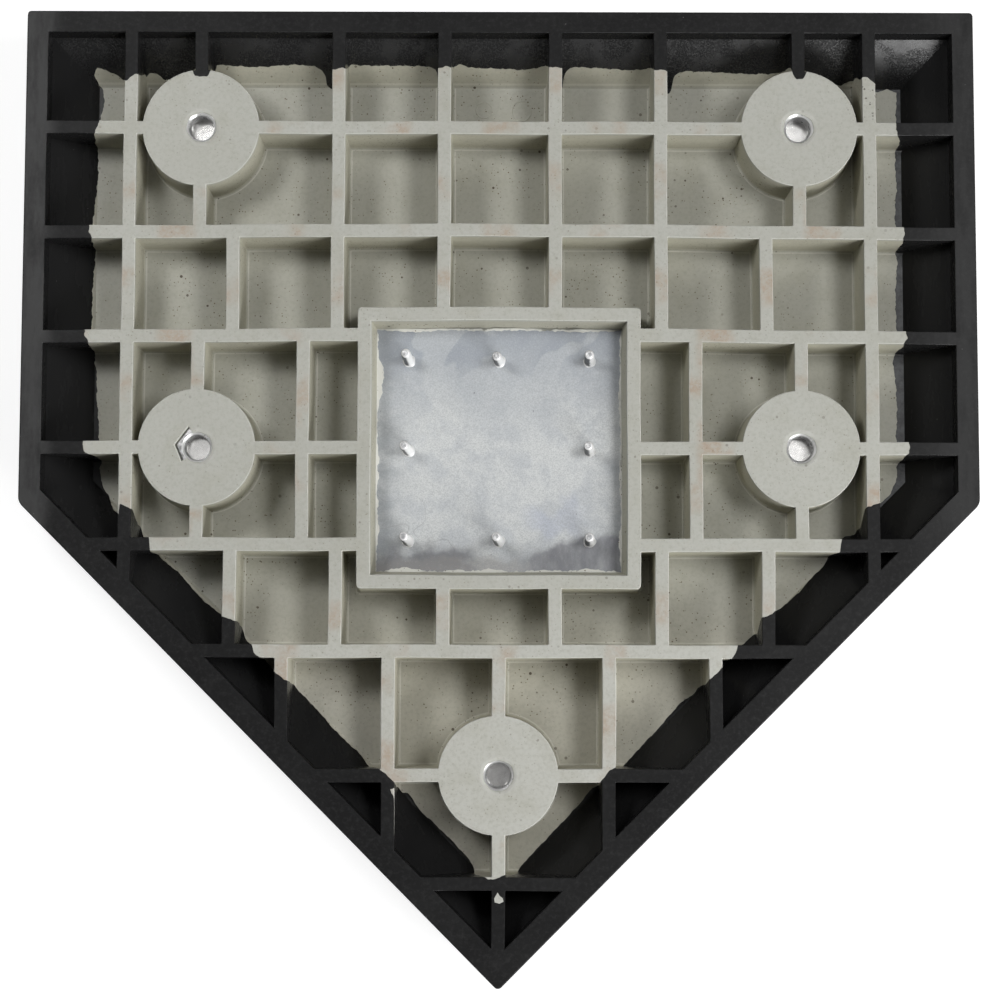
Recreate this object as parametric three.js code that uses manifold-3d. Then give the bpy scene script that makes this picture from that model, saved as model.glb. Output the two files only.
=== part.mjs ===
// Home plate: a two-colour rubber moulding with steel pieces moulded into it.
// It lies on its playing face, so the ribbed underside is up. Millimetres, +Z up, +Y to the front edge.

import * as THREE from 'three';
import { mergeVertices } from 'three/addons/utils/BufferGeometryUtils.js';
import Module from 'manifold-3d';

const wasm = await Module();
wasm.setup();

// Playing face: as long as it is wide, seventeen inches, with sides of half that length
const FACE_WIDTH = 431.8;
const FACE_CORNER_RADIUS = 0.8;

// Bevelled edge around the face
const BORDER = 25.4;
const BEVEL_DROP = 22;
const FRONT_CORNER_RADIUS = 2;
const SHOULDER_RADIUS = 7;
const TIP_RADIUS = 2.5;

// Heights of the moulding
const SLAB = 9.1;
const POCKET_DEPTH = 29;

// Rim: its flat foot, its straight inner wall, and where the pocket floor begins inside the face's edge
const RIM_WIDTH = 11;
const RIM_WIDTH_SLANT = 12.2;
const RIM_WALL = 10.5;
const FLOOR_MARGIN = 6.8;

// Ribs: top width, growth on each side down to the floor, and spacing
const RIB_WIDTH = 6.7;
const RIB_DRAFT = 0.5;
const RIB_PITCH = 53.3;
const MIDDLE_PITCH = 55.9;
const REAR_RIB_DROP = 102;

// Bosses: two at the front, two half way back, one near the point
const BOSS_DIAMETER = 59.5;
const BOSS_SPACING_X = 303.6;
const BOSS_SPACING_Y = 163.6;
const FRONT_BOSS_SETBACK = 35;

// Square frame around the steel plate
const FRAME_SIZE = 141.6;
const FRAME_CORNER_RADIUS = 2;
const RECESS_SIZE = 128;
const RECESS_DEPTH = 15;
const RECESS_DRAFT = 2.2;

// Steel plate and its studs
const PLATE_SIZE = 130;
const PLATE_THICKNESS = 3.2;
const STUD_PITCH = 46;
const STUD_DIAMETER = 4.8;
const STUD_HEIGHT = 14;
const STUD_CHAMFER = 0.6;
const COLLAR_DIAMETER = 6.6;
const COLLAR_HEIGHT = 1;

// Threaded inserts: hex nut, the disc behind it, and the rubber skin over it
const NUT_ACROSS_FLATS = 19;
const NUT_TURN = 53;
const NUT_HEIGHT = 11;
const NUT_BORE = 11;
const NUT_MOUTH = 14.4;
const DISC_DIAMETER = 36;
const DISC_THICKNESS = 2.5;
const SKIN = 0.8;
const SKIN_HOLE = 15.2;

// Where white rubber meets black: distance inside the face's edge on the pocket floor and on the rib tops,
// in the order front, right, right slant, left slant, left
const PARTING_FLOOR = [-5.2, 10.6, 7.6, 5.6, 7.1];
const PARTING_TOP = [3.6, 11.1, 10.4, 8.6, 8.1];
const WAVES = [[37, 0.7], [61, 0.8], [113, 0.6]];
const WAVE_STEPS = [44, 24, 32, 32, 24];
const TOP_WAVE_SHIFT = 19;

// Black tongue that runs from a rib end into each front boss
const TONGUE_WIDTH = 6;
const TONGUE_BITE = 3.4;
const TONGUE_DEPTH = 5;

// Fits and construction
const FIT = 0.3;
const OVERCUT = 2;
const ROUND_STEPS = 48;
const SMALL_ROUND_STEPS = 24;
const CORNER_STEPS = 6;

const FACE_LENGTH = FACE_WIDTH;
const FACE_SIDE = FACE_WIDTH / 2;
const THICKNESS = SLAB + POCKET_DEPTH;
const FLOOR_INSET = BORDER + FLOOR_MARGIN;
const RIM_INSETS = [RIM_WIDTH, RIM_WIDTH, RIM_WIDTH_SLANT, RIM_WIDTH_SLANT, RIM_WIDTH];
const EDGES = RIM_INSETS.length;
const PLATE_TOP = THICKNESS - RECESS_DEPTH;
const PLATE_BOTTOM = PLATE_TOP - PLATE_THICKNESS;
const NUT_TOP = THICKNESS - SKIN - FIT;
const NUT_BOTTOM = NUT_TOP - NUT_HEIGHT;
const DISC_BOTTOM = NUT_BOTTOM - DISC_THICKNESS;

const frontLine = -FRONT_BOSS_SETBACK;
const middleLine = frontLine - BOSS_SPACING_Y;
const rearLine = middleLine - BOSS_SPACING_Y;
const bossColumn = BOSS_SPACING_X / 2;

const bosses = [
  { name: 'front_left', x: -bossColumn, y: frontLine, skinned: true },
  { name: 'front_right', x: bossColumn, y: frontLine, skinned: true },
  { name: 'middle_left', x: -bossColumn, y: middleLine, skinned: false },
  { name: 'middle_right', x: bossColumn, y: middleLine, skinned: true },
  { name: 'rear', x: 0, y: rearLine, skinned: true },
];

// Materials
function rubber(color, roughness) {
  return new THREE.MeshStandardMaterial({ color, roughness, metalness: 0 });
}

function steel(color, roughness) {
  return new THREE.MeshStandardMaterial({ color, roughness, metalness: 1 });
}

const whiteRubber = rubber(0xb9b9af, 0.75);
const blackRubber = rubber(0x2a2a2b, 0.65);
const galvanisedSteel = steel(0xa8adb3, 0.5);
const brightSteel = steel(0xd2d4d6, 0.25);
const insertSteel = steel(0xc4c6c8, 0.3);

// Outline of the plate, as lines moved inwards from the outer edge and joined at their corners
const frontLeft = new THREE.Vector2(-FACE_WIDTH / 2, 0);
const frontRight = new THREE.Vector2(FACE_WIDTH / 2, 0);
const rightShoulder = new THREE.Vector2(FACE_WIDTH / 2, -FACE_SIDE);
const tip = new THREE.Vector2(0, -FACE_LENGTH);
const leftShoulder = new THREE.Vector2(-FACE_WIDTH / 2, -FACE_SIDE);

// Each edge from its start to its end, clockwise from the front
const faceEdges = [
  [frontLeft, frontRight],
  [frontRight, rightShoulder],
  [rightShoulder, tip],
  [tip, leftShoulder],
  [leftShoulder, frontLeft],
];

function movedEdge([start, end], inset) {
  const along = end.clone().sub(start).normalize();
  const inward = new THREE.Vector2(along.y, -along.x);
  const point = start.clone().addScaledVector(inward, inset - BORDER);
  return { point, along, inward };
}

function meet(first, second) {
  const between = second.point.clone().sub(first.point);
  const distance = between.cross(second.along) / first.along.cross(second.along);
  return first.point.clone().addScaledVector(first.along, distance);
}

// Corners of the inset outline: item k is where edge k begins
function outline(insets) {
  const lines = faceEdges.map((edge, k) => movedEdge(edge, insets[k]));
  return lines.map((line, k) => meet(lines[(k + EDGES - 1) % EDGES], line));
}

function even(inset) {
  return Array(EDGES).fill(inset);
}

// Counter-clockwise ring with an arc at each corner
function roundedRing(corners, radii) {
  const ring = corners.flatMap((corner, k) => {
    const before = corners[(k + corners.length - 1) % corners.length].clone().sub(corner).normalize();
    const after = corners[(k + 1) % corners.length].clone().sub(corner).normalize();
    const half = Math.acos(before.dot(after)) / 2;
    const towardsCentre = before.clone().add(after).normalize();
    const centre = corner.clone().addScaledVector(towardsCentre, radii[k] / Math.sin(half));
    const sweep = Math.PI - 2 * half;
    const middle = towardsCentre.clone().negate().angle();
    const turn = Math.sign(after.cross(before));
    return Array.from({ length: CORNER_STEPS + 1 }, (_, i) => {
      const angle = middle + turn * sweep * (i / CORNER_STEPS - 0.5);
      return new THREE.Vector2(Math.cos(angle), Math.sin(angle)).multiplyScalar(radii[k]).add(centre);
    });
  });
  return THREE.ShapeUtils.isClockWise(ring) ? ring.reverse() : ring;
}

function circle(radius, x = 0, y = 0, steps = ROUND_STEPS, start = 0) {
  return Array.from({ length: steps }, (_, i) => {
    const angle = start + (2 * Math.PI * i) / steps;
    return new THREE.Vector2(x + radius * Math.cos(angle), y + radius * Math.sin(angle));
  });
}

function rectangle(x0, y0, x1, y1) {
  return [[x0, y0], [x1, y0], [x1, y1], [x0, y1]].map(([x, y]) => new THREE.Vector2(x, y));
}

function square(size, x, y) {
  return rectangle(x - size / 2, y - size / 2, x + size / 2, y + size / 2);
}

function roundedSquare(size, x, y, radius) {
  const corners = square(size, x, y);
  return roundedRing(corners, corners.map(() => radius));
}

// Closed skin through a stack of rings that have equally many points, given as [ring, height]
function loft(levels) {
  const count = levels[0][0].length;
  const positions = levels.flatMap(([ring, z]) => ring.flatMap((p) => [p.x, p.y, z]));
  const indices = [];
  for (let level = 0; level + 1 < levels.length; level += 1) {
    for (let i = 0; i < count; i += 1) {
      const a = level * count + i;
      const b = level * count + ((i + 1) % count);
      indices.push(a, b, b + count, a, b + count, a + count);
    }
  }
  const top = (levels.length - 1) * count;
  for (const [a, b, c] of THREE.ShapeUtils.triangulateShape(levels[0][0], [])) {
    indices.push(c, b, a);
  }
  for (const [a, b, c] of THREE.ShapeUtils.triangulateShape(levels.at(-1)[0], [])) {
    indices.push(top + a, top + b, top + c);
  }
  const geometry = new THREE.BufferGeometry();
  geometry.setAttribute('position', new THREE.Float32BufferAttribute(positions, 3));
  geometry.setIndex(indices);
  return geometry;
}

function prism(ring, z0, z1) {
  return loft([[ring, z0], [ring, z1]]);
}

// Turned piece from [radius, height] pairs
function turned(profile, x = 0, y = 0, steps = ROUND_STEPS) {
  return loft(profile.map(([radius, z]) => [circle(radius, x, y, steps), z]));
}

function solid(geometry) {
  const bare = geometry.clone();
  bare.deleteAttribute('normal');
  bare.deleteAttribute('uv');
  const merged = mergeVertices(bare);
  return new wasm.Manifold(new wasm.Mesh({
    numProp: 3,
    vertProperties: new Float32Array(merged.attributes.position.array),
    triVerts: new Uint32Array(merged.index.array),
  }));
}

function union(geometries) {
  return geometries.map(solid).reduce((whole, piece) => whole.add(piece));
}

function geometryOf(manifold) {
  const { vertProperties, triVerts, numProp } = manifold.getMesh();
  const geometry = new THREE.BufferGeometry();
  geometry.setAttribute('position', new THREE.BufferAttribute(new Float32Array(vertProperties), numProp));
  geometry.setIndex(new THREE.BufferAttribute(new Uint32Array(triVerts), 1));
  return geometry;
}

function mesh(name, geometry, material) {
  const piece = new THREE.Mesh(geometry, material);
  piece.name = name;
  return piece;
}

// Shell: the bevelled outside with one wide hollow behind the face
const outerRadii = [FRONT_CORNER_RADIUS, FRONT_CORNER_RADIUS, SHOULDER_RADIUS, TIP_RADIUS, SHOULDER_RADIUS];
const outerRing = roundedRing(outline(even(0)), outerRadii);

function shell() {
  const faceRing = roundedRing(outline(even(BORDER)), even(FACE_CORNER_RADIUS));
  const outside = loft([[faceRing, 0], [outerRing, BEVEL_DROP], [outerRing, THICKNESS]]);
  const rimEdge = outline(RIM_INSETS).reverse();
  const hollow = loft([
    [outline(even(FLOOR_INSET)).reverse(), SLAB],
    [rimEdge, THICKNESS - RIM_WALL],
    [rimEdge, THICKNESS + OVERCUT],
  ]);
  return solid(outside).subtract(solid(hollow));
}

// Space inside the middle of the shell's wall, in which the rib ends stop
function wallCore() {
  const rimMiddle = outline(RIM_INSETS.map((inset) => inset / 2)).reverse();
  return solid(loft([
    [outline(even((BORDER + FLOOR_INSET) / 2)).reverse(), SLAB / 2],
    [rimMiddle, (BEVEL_DROP + THICKNESS - RIM_WALL) / 2],
    [rimMiddle, THICKNESS],
  ]));
}

// Rib along one centre line, wider at the floor, running half its width past both ends
function rib(x0, y0, x1, y1) {
  const half = RIB_WIDTH / 2;
  const foot = half + RIB_DRAFT;
  const low = [Math.min(x0, x1), Math.min(y0, y1)];
  const high = [Math.max(x0, x1), Math.max(y0, y1)];
  return loft([
    [rectangle(low[0] - foot, low[1] - foot, high[0] + foot, high[1] + foot), SLAB / 2],
    [rectangle(low[0] - half, low[1] - half, high[0] + half, high[1] + half), THICKNESS],
  ]);
}

// Ribs: rows across the plate, with columns that are staggered from row to row
function ribs() {
  const second = frontLine - RIB_PITCH;
  const third = second - RIB_PITCH;
  const sixth = middleLine - REAR_RIB_DROP;
  const fifth = sixth + RIB_PITCH;
  const last = rearLine - RIB_PITCH;
  const rows = [frontLine, second, third, middleLine, fifth, sixth, rearLine, last];
  const inner = MIDDLE_PITCH / 2;
  const next = inner + RIB_PITCH;
  const outer = next + RIB_PITCH;
  const side = outer + RIB_PITCH;
  const halfWidth = FACE_WIDTH / 2 + BORDER;
  const front = BORDER;
  const rear = -FACE_LENGTH - BORDER;
  const across = rows.map((y) => rib(-halfWidth, y, halfWidth, y));
  const pairs = [
    [inner, front, middleLine], [next, front, third], [outer, second, third], [side, front, rear],
    [bossColumn, front, second], [bossColumn, third, fifth], [bossColumn - RIB_PITCH, third, fifth],
    [inner, middleLine, sixth], [next, fifth, sixth], [outer, fifth, sixth],
    [(inner + next) / 2, sixth, rear], [(next + outer) / 2, sixth, rear],
  ];
  const along = pairs.flatMap(([x, y0, y1]) => [rib(x, y0, x, y1), rib(-x, y0, -x, y1)]);
  return union([...across, ...along, rib(0, sixth, 0, rear)]).intersect(wallCore());
}

function boss({ x, y }) {
  const radius = BOSS_DIAMETER / 2;
  return turned([[radius + RIB_DRAFT, SLAB / 2], [radius, THICKNESS]], x, y);
}

// Solid block of the square frame, hollowed afterwards for the plate and the recess above it
function frameBlock() {
  const top = roundedSquare(FRAME_SIZE, 0, middleLine, FRAME_CORNER_RADIUS);
  const foot = roundedSquare(FRAME_SIZE + 2 * RIB_DRAFT, 0, middleLine, FRAME_CORNER_RADIUS);
  return loft([[foot, SLAB / 2], [top, THICKNESS]]);
}

function plateHollow() {
  const recessFloor = square(RECESS_SIZE - 2 * RECESS_DRAFT, 0, middleLine);
  const recessMouth = square(RECESS_SIZE, 0, middleLine);
  const recess = loft([
    [recessFloor, PLATE_TOP - PLATE_THICKNESS / 2],
    [recessFloor, PLATE_TOP],
    [recessMouth, THICKNESS],
    [recessMouth, THICKNESS + OVERCUT],
  ]);
  const seat = prism(square(PLATE_SIZE + 2 * FIT, 0, middleLine), PLATE_BOTTOM, PLATE_TOP + FIT);
  return union([recess, seat]);
}

// Hexagon of a nut, with its first corner turned from the X axis
function hexagon(acrossFlats, x, y) {
  return circle(acrossFlats / Math.sqrt(3), x, y, 6, THREE.MathUtils.degToRad(NUT_TURN));
}

// Room for a nut and its disc inside a boss, open at the top through the skin
function insertHollow({ x, y, skinned }) {
  const discSeat = turned([
    [DISC_DIAMETER / 2 + FIT, DISC_BOTTOM],
    [DISC_DIAMETER / 2 + FIT, NUT_BOTTOM + FIT],
  ], x, y);
  const nutSeatTop = skinned ? NUT_TOP + FIT : THICKNESS + OVERCUT;
  const nutRing = hexagon(NUT_ACROSS_FLATS + 2 * FIT, x, y);
  const nutSeat = prism(nutRing, DISC_BOTTOM + DISC_THICKNESS / 2, nutSeatTop);
  const mouth = turned([
    [SKIN_HOLE / 2, NUT_TOP - NUT_HEIGHT / 2],
    [SKIN_HOLE / 2, THICKNESS + OVERCUT],
  ], x, y, SMALL_ROUND_STEPS);
  return union([discSeat, nutSeat, mouth]);
}

function moulding() {
  const whole = bosses.reduce((body, item) => body.add(solid(boss(item))), shell().add(ribs()));
  const framed = whole.add(solid(frameBlock())).subtract(plateHollow());
  return bosses.reduce((body, item) => body.subtract(insertHollow(item)), framed);
}

// Wandering line between the two rubbers
function wave(distance) {
  const turn = 2 * Math.PI * distance;
  return WAVES.reduce((sum, [length, height]) => sum + height * Math.sin(turn / length), 0);
}

// Outline whose edges wander by the wave, which dies out at the corners
function wavyRing(margins, clearance, height, shift) {
  const insets = margins.map((margin) => BORDER + margin - clearance);
  const corners = outline(insets);
  const ring = corners.flatMap((start, k) => {
    const end = corners[(k + 1) % EDGES];
    const { inward } = movedEdge(faceEdges[k], 0);
    const length = start.distanceTo(end);
    return Array.from({ length: WAVE_STEPS[k] }, (_, i) => {
      const t = i / WAVE_STEPS[k];
      const offset = height * Math.sin(Math.PI * t) * wave(t * length + shift * (k + 1));
      return start.clone().lerp(end, t).addScaledVector(inward, offset);
    });
  });
  return ring.reverse();
}

function tongue({ x, y }, clearance) {
  const half = TONGUE_WIDTH / 2 + clearance;
  const end = y + BOSS_DIAMETER / 2 - TONGUE_BITE + TONGUE_WIDTH / 2;
  const top = THICKNESS + 2 * OVERCUT;
  const bottom = THICKNESS - TONGUE_DEPTH - clearance;
  const strip = prism(rectangle(x - half, end, x + half, BORDER), bottom, top);
  const tipRound = prism(circle(half, x, end, SMALL_ROUND_STEPS), bottom, top);
  return union([strip, tipRound]);
}

// Everything inside the wandering line, grown outwards by the clearance
function partingSolid(clearance, tongueClearance) {
  const face = wavyRing(even(0), clearance, 0, 0);
  const floor = wavyRing(PARTING_FLOOR, clearance, 1, 0);
  const top = wavyRing(PARTING_TOP, clearance, 1, TOP_WAVE_SHIFT);
  const inside = solid(loft([
    [face, -OVERCUT], [face, 0], [floor, SLAB], [top, THICKNESS], [top, THICKNESS + OVERCUT],
  ]));
  const frontBosses = bosses.filter(({ y }) => y === frontLine);
  return frontBosses.reduce((body, item) => body.subtract(tongue(item, tongueClearance)), inside);
}

function insertNut({ name, x, y }) {
  const mouthDepth = (NUT_MOUTH - NUT_BORE) / 2;
  const body = solid(prism(hexagon(NUT_ACROSS_FLATS, x, y), NUT_BOTTOM, NUT_TOP));
  const bore = solid(turned([
    [NUT_BORE / 2, NUT_BOTTOM - OVERCUT],
    [NUT_BORE / 2, NUT_TOP - mouthDepth],
    [NUT_MOUTH / 2, NUT_TOP],
    [NUT_MOUTH / 2, NUT_TOP + OVERCUT],
  ], x, y, SMALL_ROUND_STEPS));
  return mesh(`insert_nut_${name}`, geometryOf(body.subtract(bore)), insertSteel);
}

function insertDisc({ name, x, y }) {
  const radius = DISC_DIAMETER / 2;
  const geometry = turned([[radius, DISC_BOTTOM], [radius, NUT_BOTTOM]], x, y);
  return mesh(`insert_disc_${name}`, geometry, insertSteel);
}

function steelPlate() {
  const geometry = new THREE.BoxGeometry(PLATE_SIZE, PLATE_SIZE, PLATE_THICKNESS);
  geometry.translate(0, middleLine, PLATE_BOTTOM + PLATE_THICKNESS / 2);
  return mesh('steel_plate', geometry, galvanisedSteel);
}

// Pin with a weld collar at its foot, standing on the plate
function stud(name, x, y) {
  const geometry = turned([
    [COLLAR_DIAMETER / 2, 0],
    [COLLAR_DIAMETER / 2, COLLAR_HEIGHT],
    [STUD_DIAMETER / 2, COLLAR_HEIGHT],
    [STUD_DIAMETER / 2, STUD_HEIGHT - STUD_CHAMFER],
    [STUD_DIAMETER / 2 - STUD_CHAMFER, STUD_HEIGHT],
  ], 0, 0, SMALL_ROUND_STEPS);
  const piece = mesh(`stud_${name}`, geometry, brightSteel);
  piece.position.set(x, middleLine + y, PLATE_TOP);
  return piece;
}

function studs() {
  const rows = [['front', 1], ['middle', 0], ['rear', -1]];
  const places = [['left', -1], ['centre', 0], ['right', 1]];
  const grid = rows.flatMap(([row, v]) => places.map(([place, u]) => [`${row}_${place}`, u, v]));
  const around = grid.filter(([, u, v]) => u !== 0 || v !== 0);
  return around.map(([name, u, v]) => stud(name, u * STUD_PITCH, v * STUD_PITCH));
}

const rubberBody = moulding();
const white = rubberBody.intersect(partingSolid(0, FIT));
const black = rubberBody.subtract(partingSolid(FIT, 0));

const plate = new THREE.Group();
plate.add(mesh('white_rubber_body', geometryOf(white), whiteRubber));
plate.add(mesh('black_rubber_edge', geometryOf(black), blackRubber));
plate.add(steelPlate(), ...studs(), ...bosses.map(insertNut), ...bosses.map(insertDisc));

// The origin lies under the middle of the plate's overall length
const heights = outerRing.map((point) => point.y);
plate.position.y = -(Math.max(...heights) + Math.min(...heights)) / 2;

export default plate;
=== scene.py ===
import math

import bmesh
import bpy
import numpy as np
from mathutils import Matrix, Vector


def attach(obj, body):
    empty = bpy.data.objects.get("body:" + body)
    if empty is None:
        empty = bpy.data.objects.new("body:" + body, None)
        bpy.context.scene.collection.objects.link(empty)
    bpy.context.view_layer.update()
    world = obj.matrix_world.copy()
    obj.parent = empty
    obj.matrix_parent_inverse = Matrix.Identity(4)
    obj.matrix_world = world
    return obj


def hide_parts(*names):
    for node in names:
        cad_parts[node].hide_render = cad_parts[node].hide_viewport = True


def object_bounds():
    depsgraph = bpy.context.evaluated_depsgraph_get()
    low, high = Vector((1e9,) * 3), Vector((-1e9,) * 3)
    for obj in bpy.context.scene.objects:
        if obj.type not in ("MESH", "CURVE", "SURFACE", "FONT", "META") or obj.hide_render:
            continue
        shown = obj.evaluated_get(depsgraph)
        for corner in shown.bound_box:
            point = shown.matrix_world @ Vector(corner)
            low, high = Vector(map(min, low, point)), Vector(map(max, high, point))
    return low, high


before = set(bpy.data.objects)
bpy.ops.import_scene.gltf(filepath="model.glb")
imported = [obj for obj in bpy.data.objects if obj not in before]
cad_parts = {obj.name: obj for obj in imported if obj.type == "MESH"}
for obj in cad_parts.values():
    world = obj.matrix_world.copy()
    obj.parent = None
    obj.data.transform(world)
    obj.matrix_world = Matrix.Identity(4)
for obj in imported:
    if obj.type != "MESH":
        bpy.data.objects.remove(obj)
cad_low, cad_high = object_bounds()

# Lengths are in millimetres in the row frame, and become metres where a mesh is made
MM = 0.001
FAR = 300.0
TINY = 1e-6

# Playing face, border and heights
FACE_WIDTH = 431.8
BORDER = 25.4
BEVEL_DROP = 22.0
TOP = 38.1
FLOOR = 9.1
FACE_FRONT = cad_high[1] / MM - BORDER
OUTER_RADII = (2.0, 2.0, 7.0, 2.5, 7.0)
FACE_RADIUS = 0.8

# Rim, ribs, bosses and the square frame
RIM_INSETS = (11.0, 11.0, 12.2, 12.2, 11.0)
SLOPE_TOP = 27.6
CREASE_INSET = 32.2
HALF_RIB = 3.35
DRAFT = 0.5
LIP = 0.45
OUTER_LIP = 0.9
FILLET = 1.5
CORNER = 0.5
BOSS_RADIUS = 29.75
FRAME_HALF = 70.8
FRAME_CORNER = 2.0

# Rows of ribs from front to rear, and columns of ribs from the middle outwards
RIB_PITCH = 53.3
BOSS_PITCH = 163.6
ROW_1 = FACE_FRONT - 35.0
ROW_2 = ROW_1 - RIB_PITCH
ROW_3 = ROW_2 - RIB_PITCH
ROW_4 = ROW_1 - BOSS_PITCH
ROW_6 = ROW_4 - 102.0
ROW_5 = ROW_6 + RIB_PITCH
ROW_7 = ROW_4 - BOSS_PITCH
ROW_8 = ROW_7 - RIB_PITCH
COLUMN_1 = 27.95
COLUMN_2 = COLUMN_1 + RIB_PITCH
COLUMN_3 = COLUMN_2 + RIB_PITCH
COLUMN_4 = COLUMN_3 + RIB_PITCH
FRAME_COLUMN = 98.5
BOSS_COLUMN = 151.8
REAR_COLUMN = 54.6

# Steel plate, studs and inserts
RECESS_HALF = 64.0
RECESS_FOOT_HALF = 61.8
PLATE_SEAT_HALF = 65.3
PLATE_TOP = 23.1
PLATE_BOTTOM = 19.9
STUD_PITCH = 46.0
STUD_HEIGHT = 14.0
NUT_TOP = 37.0
NUT_BOTTOM = 26.0
DISC_BOTTOM = 23.5
NUT_FLATS = 19.0
NUT_TURN = math.radians(53.0)
NUT_BORE = 6.45
NUT_MOUTH = 7.6
NUT_ROOM = 0.6
DISC_ROOM = 18.3
SKIN_HOLE = 7.5
SKIN_MOUTH = 9.6
STUD_LEANS = {
    "front_left": (-1.4, 2.3), "front_centre": (-1.4, 0.8), "front_right": (-0.6, 1.7),
    "middle_left": (-2.0, 1.5), "middle_right": (-1.1, 1.5),
    "rear_left": (-1.9, 1.6), "rear_centre": (-1.6, 1.6), "rear_right": (-0.6, 1.3),
}
BOSSES = {
    "front_left": (-BOSS_COLUMN, ROW_1),
    "front_right": (BOSS_COLUMN, ROW_1),
    "middle_left": (-BOSS_COLUMN, ROW_4),
    "middle_right": (BOSS_COLUMN, ROW_4),
    "rear": (0.0, ROW_7),
}

# Mould rings on two pocket floors: place and radius
MOULD_RINGS = ((-8.2, 202.0, 4.2), (11.3, 201.5, 5.1))

# Wandering line between the rubbers: its offset, and the heights of its upright stretch
LINE_SHIFT = 0.5
LINE_LOW = 6.5
LINE_HIGH = 18.0
FACE_SEAM = 0.3

# Spacing of the brown smudges along the rib tops, half way between the crossings
SMUDGE_PITCH = 54.5

# Camera: place of the lens and its tilt, fitted to the outline in the photograph
EYE = (0.5, -101.5, 1186.9)
TILT = -4.839
ROLL = -0.136
LENS = 82.8
SENSOR = 36.0


# Meshes

def strip(low, high, count):
    """Faces between two rings of a mesh, each ring given by the number of its first point."""
    return [(low + i, low + (i + 1) % count, high + (i + 1) % count, high + i) for i in range(count)]


def loft(levels):
    """Closed skin through (ring, z) levels from low to high, each ring counter-clockwise."""
    count = len(levels[0][0])
    points = [(x, y, z) for ring, z in levels for x, y in ring]
    top = len(points) - count
    faces = [tuple(range(count))[::-1]]
    for start in range(0, top, count):
        faces += strip(start, start + count, count)
    return points, faces + [tuple(range(top, top + count))]


def wrapped(rings):
    """Closed skin through rings of (x, y, z) points that come back to the first ring."""
    count = len(rings[0])
    points = [p for ring in rings for p in ring]
    faces = []
    for start in range(0, len(points), count):
        faces += strip(start, (start + count) % len(points), count)
    return points, faces


def piece(name, shapes):
    """Mesh object of one or more separate closed shapes."""
    points, faces = [], []
    for shape_points, shape_faces in shapes:
        start = len(points)
        points += [(x * MM, y * MM, z * MM) for x, y, z in shape_points]
        faces += [tuple(start + i for i in face) for face in shape_faces]
    mesh = bpy.data.meshes.new(name)
    mesh.from_pydata(points, [], faces)
    work = bmesh.new()
    work.from_mesh(mesh)
    bmesh.ops.remove_doubles(work, verts=work.verts, dist=1e-7)
    bmesh.ops.recalc_face_normals(work, faces=work.faces)
    work.to_mesh(mesh)
    work.free()
    obj = bpy.data.objects.new(name, mesh)
    bpy.context.scene.collection.objects.link(obj)
    return obj


def settle(obj):
    """Puts the result of the object's modifiers into its mesh."""
    graph = bpy.context.evaluated_depsgraph_get()
    mesh = bpy.data.meshes.new_from_object(obj.evaluated_get(graph))
    obj.modifiers.clear()
    obj.data = mesh
    mesh.name = obj.name


def boolean(obj, other, operation, keep=False):
    """Joins or cuts an object with another, which is dropped unless it is kept."""
    modifier = obj.modifiers.new("boolean", "BOOLEAN")
    modifier.operation = operation
    modifier.solver = "MANIFOLD"
    modifier.object = other
    settle(obj)
    if not keep:
        bpy.data.objects.remove(other, do_unlink=True)


def smooth(obj, degrees=35.0):
    """Smooth shading across gentle edges, with large flats kept flat."""
    obj.data.shade_smooth()
    obj.data.set_sharp_from_angle(angle=math.radians(degrees))
    weighted = obj.modifiers.new("weighted", "WEIGHTED_NORMAL")
    weighted.mode = "FACE_AREA"
    weighted.weight = 100
    weighted.keep_sharp = True
    settle(obj)


# Outlines

HALF = FACE_WIDTH / 2
FACE = [
    (-HALF, FACE_FRONT), (HALF, FACE_FRONT), (HALF, FACE_FRONT - HALF),
    (0.0, FACE_FRONT - FACE_WIDTH), (-HALF, FACE_FRONT - HALF),
]


def unit(vector):
    return vector / np.linalg.norm(vector)


def face_edge(k):
    """Start, direction and inward normal of one edge of the face, clockwise from the front."""
    start = np.array(FACE[k])
    along = unit(np.array(FACE[(k + 1) % 5]) - start)
    return start, along, np.array((along[1], -along[0]))


def outline(insets):
    """Clockwise corners of the five-sided outline, moved inwards from the plate's outer edge."""
    lines = []
    for k in range(5):
        start, along, inward = face_edge(k)
        lines.append((start + inward * (insets[k] - BORDER), along))
    corners = []
    for k in range(5):
        (p, u), (q, v) = lines[k - 1], lines[k]
        w = q - p
        corners.append(p + u * (w[0] * v[1] - w[1] * v[0]) / (u[0] * v[1] - u[1] * v[0]))
    return corners


def rounded(corners, radii, steps=8):
    """Counter-clockwise ring from clockwise corners, with an arc at each corner."""
    ring = []
    count = len(corners)
    for k, corner in enumerate(corners):
        before = unit(corners[k - 1] - corner)
        after = unit(corners[(k + 1) % count] - corner)
        half = math.acos(float(before @ after)) / 2
        middle = unit(before + after)
        centre = corner + middle * radii[k] / math.sin(half)
        facing = math.atan2(-middle[1], -middle[0])
        for i in range(steps + 1):
            angle = facing - (math.pi - 2 * half) * (i / steps - 0.5)
            ring.append((centre[0] + radii[k] * math.cos(angle), centre[1] + radii[k] * math.sin(angle)))
    return ring[::-1]


def turning(x, y, reach, steps):
    """Ring about a centre, with the reach of each point given as a function of its angle."""
    angles = [2 * math.pi * i / steps for i in range(steps)]
    return [(x + reach(a) * math.cos(a), y + reach(a) * math.sin(a)) for a in angles]


def circle(x, y, radius, steps):
    return turning(x, y, lambda angle: radius, steps)


def square(half, y=0.0):
    return [(-half, y - half), (half, y - half), (half, y + half), (-half, y + half)]


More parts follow.
